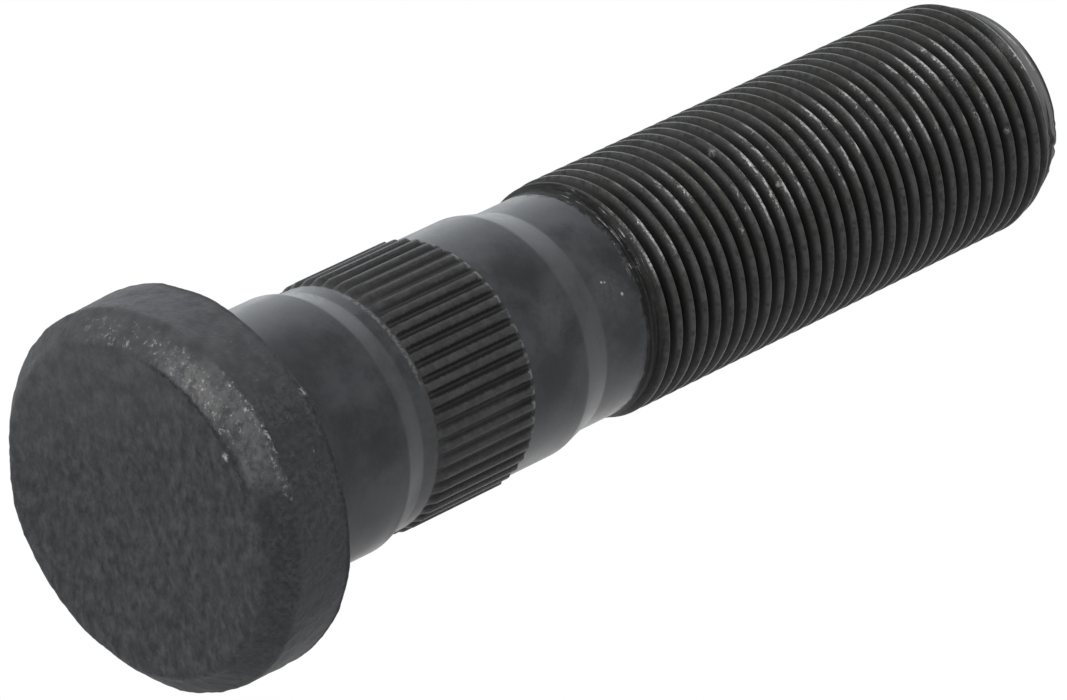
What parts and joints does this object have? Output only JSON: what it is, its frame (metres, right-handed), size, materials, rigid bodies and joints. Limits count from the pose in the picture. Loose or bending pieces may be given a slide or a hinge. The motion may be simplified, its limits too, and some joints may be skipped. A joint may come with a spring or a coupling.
{
  "type": "wheel bolt",
  "caption": "Press-in wheel bolt with a round forged head, a straight-knurled shank and a fine rolled thread that carries the wheel nut.",
  "frame": {"origin": "centre of the head's outer face, on which the bolt stands", "axes": "+Z runs along the bolt from the head's outer face to the threaded tip; the bolt is round, so X and Y are any two directions across it"},
  "size_m": [0.0312, 0.0312, 0.098],
  "materials": {
    "black_steel": "black oxide on forged, turned and rolled steel, lightly oiled"
  },
  "bodies": {
    "root": {"wheel_bolt": "black_steel"}
  },
  "joints": []
}
